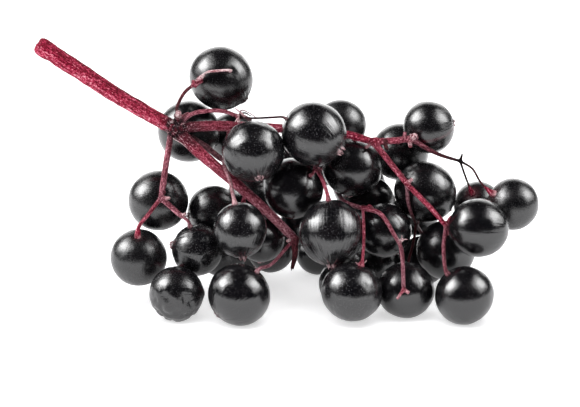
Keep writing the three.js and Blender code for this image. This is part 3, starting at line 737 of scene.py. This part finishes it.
# The node where the rays part: the middle of its lumps and of its dark crevices, and the distances that
# each fades between.
NODE_KNOT, KNOT_FADE = (-12.4, -1.2, 19.8), (2.1, 0.9)
NODE_DARK, DARK_FADE = (-11.5, -1.4, 19.1), (3.0, 0.8)
LUMP_HEIGHT = 0.16
# the bark is painted darker on the side that faces this way, as painted shade
PAINTED_SHADE_SIDE = (0.5, 0.1, 0.86)


def run_point(points, share):
    """A place on the centripetal Catmull-Rom run through the points."""
    last = len(points) - 1
    if last == 1:
        return points[0].lerp(points[1], share)
    first = min(int(share * last), last - 1)
    weight = share * last - first
    here, there = points[first], points[first + 1]
    before = points[first - 1] if first > 0 else 2 * here - there
    after = points[first + 2] if first + 2 <= last else 2 * there - here
    gaps = [math.sqrt((b - a).length) for a, b in ((before, here), (here, there), (there, after))]
    leave = (here - before) / gaps[0] - (there - before) / (gaps[0] + gaps[1]) + (there - here) / gaps[1]
    arrive = (there - here) / gaps[1] - (after - here) / (gaps[1] + gaps[2]) + (after - there) / gaps[2]
    leave, arrive = leave * gaps[1], arrive * gaps[1]
    square, cube = weight * weight, weight ** 3
    return (here + leave * weight + (3 * (there - here) - 2 * leave - arrive) * square
            + (2 * (here - there) + leave + arrive) * cube)


def even_rings(points):
    """Places along the run at even steps, each with its share of the run and its distance along."""
    count = RUN_SAMPLES * (len(points) - 1)
    shares = [i / count for i in range(count + 1)]
    places = [run_point(points, share) for share in shares]
    travelled = [0.0]
    for a, b in zip(places, places[1:]):
        travelled.append(travelled[-1] + (b - a).length)
    steps = max(3, round(travelled[-1] / RING_GAP))
    rings, i = [], 0
    for step in range(steps + 1):
        distance = travelled[-1] * step / steps
        while i < count - 1 and travelled[i + 1] < distance:
            i += 1
        part = (distance - travelled[i]) / max(1e-9, travelled[i + 1] - travelled[i])
        rings.append((places[i].lerp(places[i + 1], part), shares[i] + part / count, distance))
    return rings


def limb_frames(row):
    """Centre, direction, two cross directions, radius, distance and share of the run for every ring."""
    rings = even_rings(row["through"])
    whole = rings[-1][2]
    across = Vector(FIRST_ACROSS)
    frames = []
    for i, (centre, share, distance) in enumerate(rings):
        ahead = rings[min(i + 1, len(rings) - 1)][0] - rings[max(i - 1, 0)][0]
        along = ahead.normalized()
        across = (across - along * across.dot(along)).normalized()
        radius = between(row["thick"], share) / 2
        if row["start"] == "dome":
            radius *= 1 + SWELLING * row["swell"] * smooth_step(SWELLING_LENGTH, 0, distance)
        radius *= 1 + row["flare"] * smooth_step(row["flare_length"], 0.05, whole - distance)
        frames.append((centre, along, across.copy(), along.cross(across), radius, distance, share))
    return frames


def bark_relief(row, number, cosine, sine, turn, along):
    """How wide a limb is at one place, in radii: lumps from long to short, and ridges on a thick one."""
    rugged = row["rugged"]
    lump = 1 + rugged * wave(along * 0.9, number * 7.3, 0) * 1.4
    lump += rugged * 0.8 * wave(cosine * 1.6 + number, sine * 1.6, along * 0.8)
    lump += rugged * 0.7 * wave(cosine * 3.1, sine * 3.1 + number, along * 2.2)
    if max(row["thick"]) > 0.6:
        lump += rugged * 0.6 * math.cos(5 * turn + 1.5 * wave(along * 0.15, number, 5))
    return lump


def end_relief(row, number, x, y, beyond, width):
    """How far the end of a limb stands out at one place, in radii. A ring of its run isn't beyond it."""
    if row["start"] == "cut" and beyond < 0:
        return 0.12 * wave(x * 2.3, y * 2.3, 3) + 0.1 * wave(x * 6, y * 6, 8)
    if row["end"] == "cup" and beyond != 0 and width > 0:
        return 0.18 * wave(x * 2, y * 2, number)
    if row["end"] == "torn" and beyond > 0:
        return 1.1 * wave(x * 1.7, y * 1.7, number)
    return 0.0


def limb_tube(row, number):
    """One limb as a closed tube: a flat grid of faces, wrapped round the run and closed at both ends."""
    frames = limb_frames(row)
    sides = next(count for above, count in SIDES if max(row["thick"]) > above)
    rings = [(frames[0], -beyond, width) for beyond, width in reversed(END_SHAPES[row["start"]])]
    rings += [(one, 0.0, 1.0) for one in frames]
    rings += [(frames[-1], beyond, width) for beyond, width in END_SHAPES[row["end"]]]
    clear_selection()
    bpy.ops.mesh.primitive_grid_add(x_subdivisions=sides, y_subdivisions=len(rings) - 1, size=2)
    tube = bpy.context.object
    tube.name = f"limb_{number:02d}"
    mesh = tube.data
    whole = frames[-1][5]
    places, grains, drys, dulls, pales = [], [], [], [], []
    for vertex in mesh.vertices:
        turn = 0.0 if vertex.co.x > 0.9999 else (vertex.co.x + 1) * math.pi
        ring = round((vertex.co.y + 1) / 2 * (len(rings) - 1))
        (centre, along, across, up, radius, distance, share), beyond, width = rings[ring]
        cosine, sine = math.cos(turn), math.sin(turn)
        place_along = distance + beyond * radius
        ragged = end_relief(row, number, cosine * width, sine * width, beyond, width)
        place = centre + along * (beyond + ragged * (1 if beyond > 0 else -1)) * radius
        lump = bark_relief(row, number, cosine, sine, turn, place_along)
        place += (across * cosine + up * sine) * radius * width * lump
        places.extend(place)
        grains.extend((cosine * radius * width, sine * radius * width, place_along + number * GRAIN_GAP))
        near_end = whole - place_along
        stale = 1 - row["fresh"] * smooth_step(*FRESH_FADE, near_end)
        drys.append(between(row["dry"], share) * stale)
        dulls.append(between(row["dull"], share) * stale)
        pales.append(max(row["pale"] * smooth_step(*PALE_FADE, near_end), between(row["bare"], share)))
    mesh.vertices.foreach_set("co", places)
    for name, values in dict(grain=grains, dry=drys, dull=dulls, pale=pales).items():
        store(mesh, name, values)
    mark = mesh.attributes.new("limb", "INT", "FACE")
    mark.data.foreach_set("value", [number] * len(mesh.polygons))
    mesh.update()
    take(tube)
    enter("EDIT")
    bpy.ops.mesh.select_all(action="SELECT")
    bpy.ops.mesh.remove_doubles(threshold=WELD)
    bpy.ops.mesh.normals_make_consistent(inside=False)
    enter("OBJECT")
    return tube


def pedicel(row):
    """The short stalk of one berry, down into the dimple in its skin."""
    radius, centre, stem = row["radius"], row["centre"], row["stem"]
    lengthwise = row["tip"].dot(stem) ** 2
    skin = radius * (1 / math.sqrt(1 - lengthwise + lengthwise / row["length"] ** 2))
    before = centre + stem * (skin + SKIN_GAP)
    end = centre + stem * (skin - DIMPLE_REACH * radius - SINK)
    looks = {key: row[key] for key in ("flare", "flare_length", "dry", "dull", "fresh", "pale", "bare")}
    thick = (row["thick"], row["thick"])
    return limb(*row["through"], before, end, thick=thick, end="flat", **looks)


def lines_between_limbs(mesh):
    """The vertices along the lines where two limbs meet, for finding the nearest one."""
    limb_of = stored(mesh, "limb", len(mesh.polygons))
    limbs_at = {}
    for face in mesh.polygons:
        for edge in face.edge_keys:
            limbs_at.setdefault(edge, set()).add(limb_of[face.index])
    seam = sorted({v for edge, limbs in limbs_at.items() if len(limbs) > 1 for v in edge})
    lines = KDTree(len(seam))
    for number, v in enumerate(seam):
        lines.insert(mesh.vertices[v].co, number)
    lines.balance()
    return lines


def mend_forks(mesh, fork_lines):
    """Gives the vertices that the union made, which have no looks, those of their neighbours. Marks how
    near each vertex is to a fork."""
    count = len(mesh.vertices)
    grains = stored(mesh, "grain", 3 * count, "vector")
    made_by_union = {i for i in range(count) if not any(grains[3 * i:3 * i + 3])}
    kept = KDTree(count - len(made_by_union))
    for i in range(count):
        if i not in made_by_union:
            kept.insert(mesh.vertices[i].co, i)
    kept.balance()
    near = {i: [(1 / (gap + 0.02), other) for _, other, gap in kept.find_n(mesh.vertices[i].co, NEIGHBOURS)]
            for i in sorted(made_by_union)}
    for name in ("dry", "dull", "pale"):
        values = stored(mesh, name, count)
        for i, others in near.items():
            values[i] = sum(weight * values[other] for weight, other in others) / sum(w for w, _ in others)
        mesh.attributes[name].data.foreach_set("value", values)
    for i, others in near.items():
        nearest = others[0][1]
        grains[3 * i:3 * i + 3] = grains[3 * nearest:3 * nearest + 3]
    mesh.attributes["grain"].data.foreach_set("vector", grains)
    gaps = [fork_lines.find(vertex.co)[2] for vertex in mesh.vertices]
    store(mesh, "forked", [smooth_step(*FORK_FADE, gap) for gap in gaps])


def ease_forks(stalk, fork_lines):
    """Smooths the skin close to the lines where two limbs meet, as bark grows over a fork."""
    for reach, repeat in FORK_EASING:
        edit_where(stalk, "VERT", lambda vertex: fork_lines.find(vertex.co)[2] < reach)
        bpy.ops.mesh.vertices_smooth(factor=0.5, repeat=repeat)
        enter("OBJECT")


def gnarl(stalk):
    """Lumps and dark crevices where the rays part, and a mark for the painted shade on the side that faces up
    and to the right.
    """
    mesh = stalk.data
    knot, dark, shade_way = Vector(NODE_KNOT), Vector(NODE_DARK), Vector(PAINTED_SHADE_SIDE)
    normals = [vertex.normal.copy() for vertex in mesh.vertices]
    painted_shade, creviced = [], []
    for vertex, normal in zip(mesh.vertices, normals):
        here = vertex.co
        broad, fine = (wave(here.x * scale, here.y * scale, here.z * scale) for scale in (1.9, 4.1))
        lump = broad + 0.6 * fine
        knotted = smooth_step(*KNOT_FADE, (here - knot).length)
        darkened = 0.75 * smooth_step(*DARK_FADE, (here - dark).length)
        painted_shade.append(smooth_step(-0.45, 0.75, normal.dot(shade_way)))
        creviced.append(max(knotted * smooth_step(0.5, 0.1, lump), darkened))
        vertex.co = here + normal * (LUMP_HEIGHT * knotted * lump)
    store(mesh, "painted_shade", painted_shade)
    store(mesh, "creviced", creviced)
    mesh.update()


def into_metres(piece):
    piece.data.transform(Matrix.Scale(MM, 4))
    take(piece)
    bpy.ops.object.shade_smooth()


def sprig_stalk():
    """Every limb, joined into one skin and eased where they meet."""
    limbs = MAIN_LIMBS + BROKEN_STUBS + [pedicel(row) for row in BERRIES]
    stalk, *others = [limb_tube(row, number) for number, row in enumerate(limbs)]
    stalk.name = "sprig_stalk"
    shelf = bpy.data.collections.new("side_limbs")
    bpy.context.scene.collection.children.link(shelf)
    for tube in others:
        for holder in list(tube.users_collection):
            holder.objects.unlink(tube)
        shelf.objects.link(tube)
    take(stalk)
    join = stalk.modifiers.new("join_limbs", "BOOLEAN")
    join.operation = "UNION"
    join.operand_type = "COLLECTION"
    join.collection = shelf
    join.solver = "MANIFOLD"
    bpy.ops.object.modifier_apply(modifier="join_limbs")
    take(*others)
    bpy.ops.object.delete()
    bpy.data.collections.remove(shelf)
    fork_lines = lines_between_limbs(stalk.data)
    mend_forks(stalk.data, fork_lines)
    ease_forks(stalk, fork_lines)
    gnarl(stalk)
    into_metres(stalk)
    return stalk


def loose_fibres():
    """Threads and torn rims of bark, gathered into one piece."""
    tubes = [limb_tube(row, number) for number, row in enumerate(FIBRES, FIRST_FIBRE)]
    for tube in tubes:
        # threads get an even share of the painted shade, and no crevices or fork marks
        for name, value in dict(painted_shade=0.3, creviced=0.0, forked=0.0).items():
            store(tube.data, name, value)
    take(*tubes)
    bpy.ops.object.join()
    fibres = bpy.context.object
    fibres.name = "stalk_fibres"
    into_metres(fibres)
    return fibres


# ---- Skins ----

BERRY_BLACK, BERRY_PURPLE = (0.002, 0.002, 0.0028), (0.0045, 0.0036, 0.0045)
SPECK_GREY = (0.06, 0.057, 0.06)
HALO_RED = (0.12, 0.006, 0.018)
FLUSH_PINK = (0.2, 0.06, 0.075)
HOLLOW_BROWN = (0.03, 0.006, 0.008)
SEPAL_RED, SEPAL_TAN = (0.1, 0.015, 0.025), (0.68, 0.42, 0.44)

PIT_DEPTH, FOLD_DEPTH, CELL_DEPTH, GRAIN_DEPTH = 0.000015, 0.00012, 0.00007, 0.00018  # metres

# the palest stop is a painted highlight, standing in for small glints on the bark
BARK_CRIMSONS_AND_GLINTS = [(0.4, (0.08, 0.0, 0.006)), (0.46, (0.21, 0.003, 0.022)), (0.515, (0.42, 0.018, 0.06)),
                 (0.565, (0.66, 0.11, 0.19)), (0.615, (0.9, 0.5, 0.57))]
BLOTCH_CRIMSON = (0.12, 0.002, 0.012)
# the dusky colours are partly the bark's greyer tone and partly painted shade
DUSK_AND_SHADE_DARK, DUSK_AND_SHADE_LIGHT = (0.085, 0.022, 0.034), (0.5, 0.29, 0.33)
DRIED_DARK, DRIED_BROWN = (0.008, 0.005, 0.006), (0.1, 0.02, 0.026)
DEAD_BLACK = (0.006, 0.005, 0.006)
CREVICE_BLACK, CRUMB_PALE = (0.012, 0.004, 0.006), (0.6, 0.42, 0.45)
BARED_PINK, BARED_CREAM = (0.44, 0.1, 0.15), (0.9, 0.72, 0.72)


def berry_skin():
    """Tight black-purple skin with a faint bloom, fine pits, and a dry tan and pink flower scar."""
    material, tree, shader = new_material("berry_skin")
    millimetres = millimetres_of(tree)
    meridian = attribute(tree, "meridian", "Vector")
    patches = noise_of(tree, millimetres, 0.6, 3, 0.5)
    pits = noise_of(tree, millimetres, 4.6, 4, 0.75)
    specks = noise_of(tree, millimetres, 6.5, 3, 0.75)
    pleats = noise_of(tree, stretched(tree, meridian, (4.5, 4.5, 0.6)), 1.0, 3, 0.6)
    flakes = noise_of(tree, stretched(tree, meridian, (3.2, 3.2, 2.0)), 1.0, 3, 0.65)
    tip_angle = add(tree, "SeparateXYZ", {0: meridian})["Z"]
    near_tip = ranged(tree, tip_angle, 0.3, 1.7, 1.0, 0.25)
    beside_scar = ranged(tree, tip_angle, 0.5, 0.17)
    scar = attribute(tree, "scar")
    # colour
    skin = mix_colour(tree, ranged(tree, patches, 0.35, 0.7), BERRY_BLACK, BERRY_PURPLE)
    flushed = times(tree, beside_scar, ranged(tree, pleats, 0.5, 0.66))
    skin = layered(
        tree, skin,
        (times(tree, ranged(tree, specks, 0.56, 0.68), attribute(tree, "dust")), SPECK_GREY),
        (attribute(tree, "halo"), HALO_RED),
        (times(tree, flushed, attribute(tree, "flushed")), FLUSH_PINK),
        (attribute(tree, "hollow"), HOLLOW_BROWN),
        (scar, mix_colour(tree, ranged(tree, flakes, 0.42, 0.58), SEPAL_RED, SEPAL_TAN)))
    # shine
    rough = ranged(tree, patches, 0.3, 0.75, 0.08, 0.15)
    rough = combine(tree, "ADD", rough, ranged(tree, specks, 0.48, 0.7, 0.0, 0.12))
    for name, share in (("wrinkled", 0.12), ("bloom", 0.14)):
        rough = combine(tree, "ADD", rough, times(tree, attribute(tree, name), share))
    rough = combine(tree, "MAXIMUM", rough, times(tree, scar, 0.7))
    # relief
    folds = times(tree, times(tree, pleats, near_tip), attribute(tree, "pleated"))
    folded = bumped(tree, folds, FOLD_DEPTH, 0.9)
    feed(shader, {"Base Color": skin, "Roughness": rough, "Specular IOR Level": 0.68, "IOR": 1.5,
                  "Normal": bumped(tree, pits, PIT_DEPTH, 0.9, Normal=folded)})
    return material


def stalk_skin():
    """Crimson bark, grained along each limb, paler on its ridges with its palest flecks painted as glints,
    darker on its upper right side as painted shade, dusky in places and as painted shade on limbs deep in the
    cluster, and brown where it has dried.
    """
    material, tree, shader = new_material("stalk_skin")
    grain = attribute(tree, "grain", "Vector")
    dry = attribute(tree, "dry")
    # at a fork the grains of two limbs meet, and noise without a grain takes over
    forked = attribute(tree, "forked")
    knotted = noise_of(tree, millimetres_of(tree), 5.2, 4, 0.75, 0.3)
    cells = noise_of(tree, stretched(tree, grain, (1.0, 1.0, 0.6)), 6.6, 4, 0.75, 0.3)
    cells = blended(tree, forked, cells, knotted)
    streaks = noise_of(tree, stretched(tree, grain, (1.0, 1.0, 0.14)), 3.6, 3, 0.6, 0.3)
    streaks = blended(tree, forked, streaks, knotted)
    blotches = noise_of(tree, grain, 0.9, 3, 0.55)
    mottle = combine(tree, "ADD", times(tree, cells, 0.7), times(tree, streaks, 0.3))
    # painted shade: the bark is a little darker on its side that faces up and to the right
    mottle = combine(tree, "SUBTRACT", mottle, times(tree, attribute(tree, "painted_shade"), 0.05))
    # fresh bark, then blotched, dusky (also painted shade on limbs deep in the cluster), brown, black,
    # crumbling and bared bark over it
    worn = times(tree, attribute(tree, "pale"), ranged(tree, streaks, 0.35, 0.5))
    browned = mix_colour(tree, ranged(tree, cells, 0.4, 0.62), DRIED_DARK, DRIED_BROWN)
    colour = layered(
        tree, colour_ramp(tree, mottle, BARK_CRIMSONS_AND_GLINTS),
        (ranged(tree, blotches, 0.5, 0.7, 0, 0.5), BLOTCH_CRIMSON),
        (attribute(tree, "dull"), mix_colour(tree, ranged(tree, mottle, 0.42, 0.6), DUSK_AND_SHADE_DARK, DUSK_AND_SHADE_LIGHT)),
        (ranged(tree, dry, 0.3, 0.9), browned),
        (ranged(tree, dry, 0.95, 1.2, 0.0, 0.9), DEAD_BLACK),
        (attribute(tree, "creviced"),
         mix_colour(tree, ranged(tree, cells, 0.58, 0.62), CREVICE_BLACK, CRUMB_PALE)),
        (worn, mix_colour(tree, ranged(tree, cells, 0.4, 0.54), BARED_PINK, BARED_CREAM)))
    grained = bumped(tree, streaks, GRAIN_DEPTH, 0.8)
    feed(shader, {"Base Color": colour, "Roughness": ranged(tree, cells, 0.35, 0.7, 0.4, 0.62),
                  "Specular IOR Level": 0.07, "Normal": bumped(tree, cells, CELL_DEPTH, 0.9, Normal=grained)})
    return material


# ---- The cluster ----

def dress(piece, skin):
    piece.data.materials.clear()
    piece.data.materials.append(skin)


skin_of_berry = berry_skin()
pattern = berry_pattern()
for number, row in enumerate(BERRIES, 1):
    berry = ripe_berry(pattern, number, row)
    dress(berry, skin_of_berry)
    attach(berry, "root")
    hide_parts(f"berry_{number:02d}")
take(pattern)
bpy.ops.object.delete()

skin_of_stalk = stalk_skin()
stalk = sprig_stalk()
dress(stalk, skin_of_stalk)
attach(stalk, "root")
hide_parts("stalk")

fibres = loose_fibres()
dress(fibres, skin_of_stalk)
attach(fibres, "root")
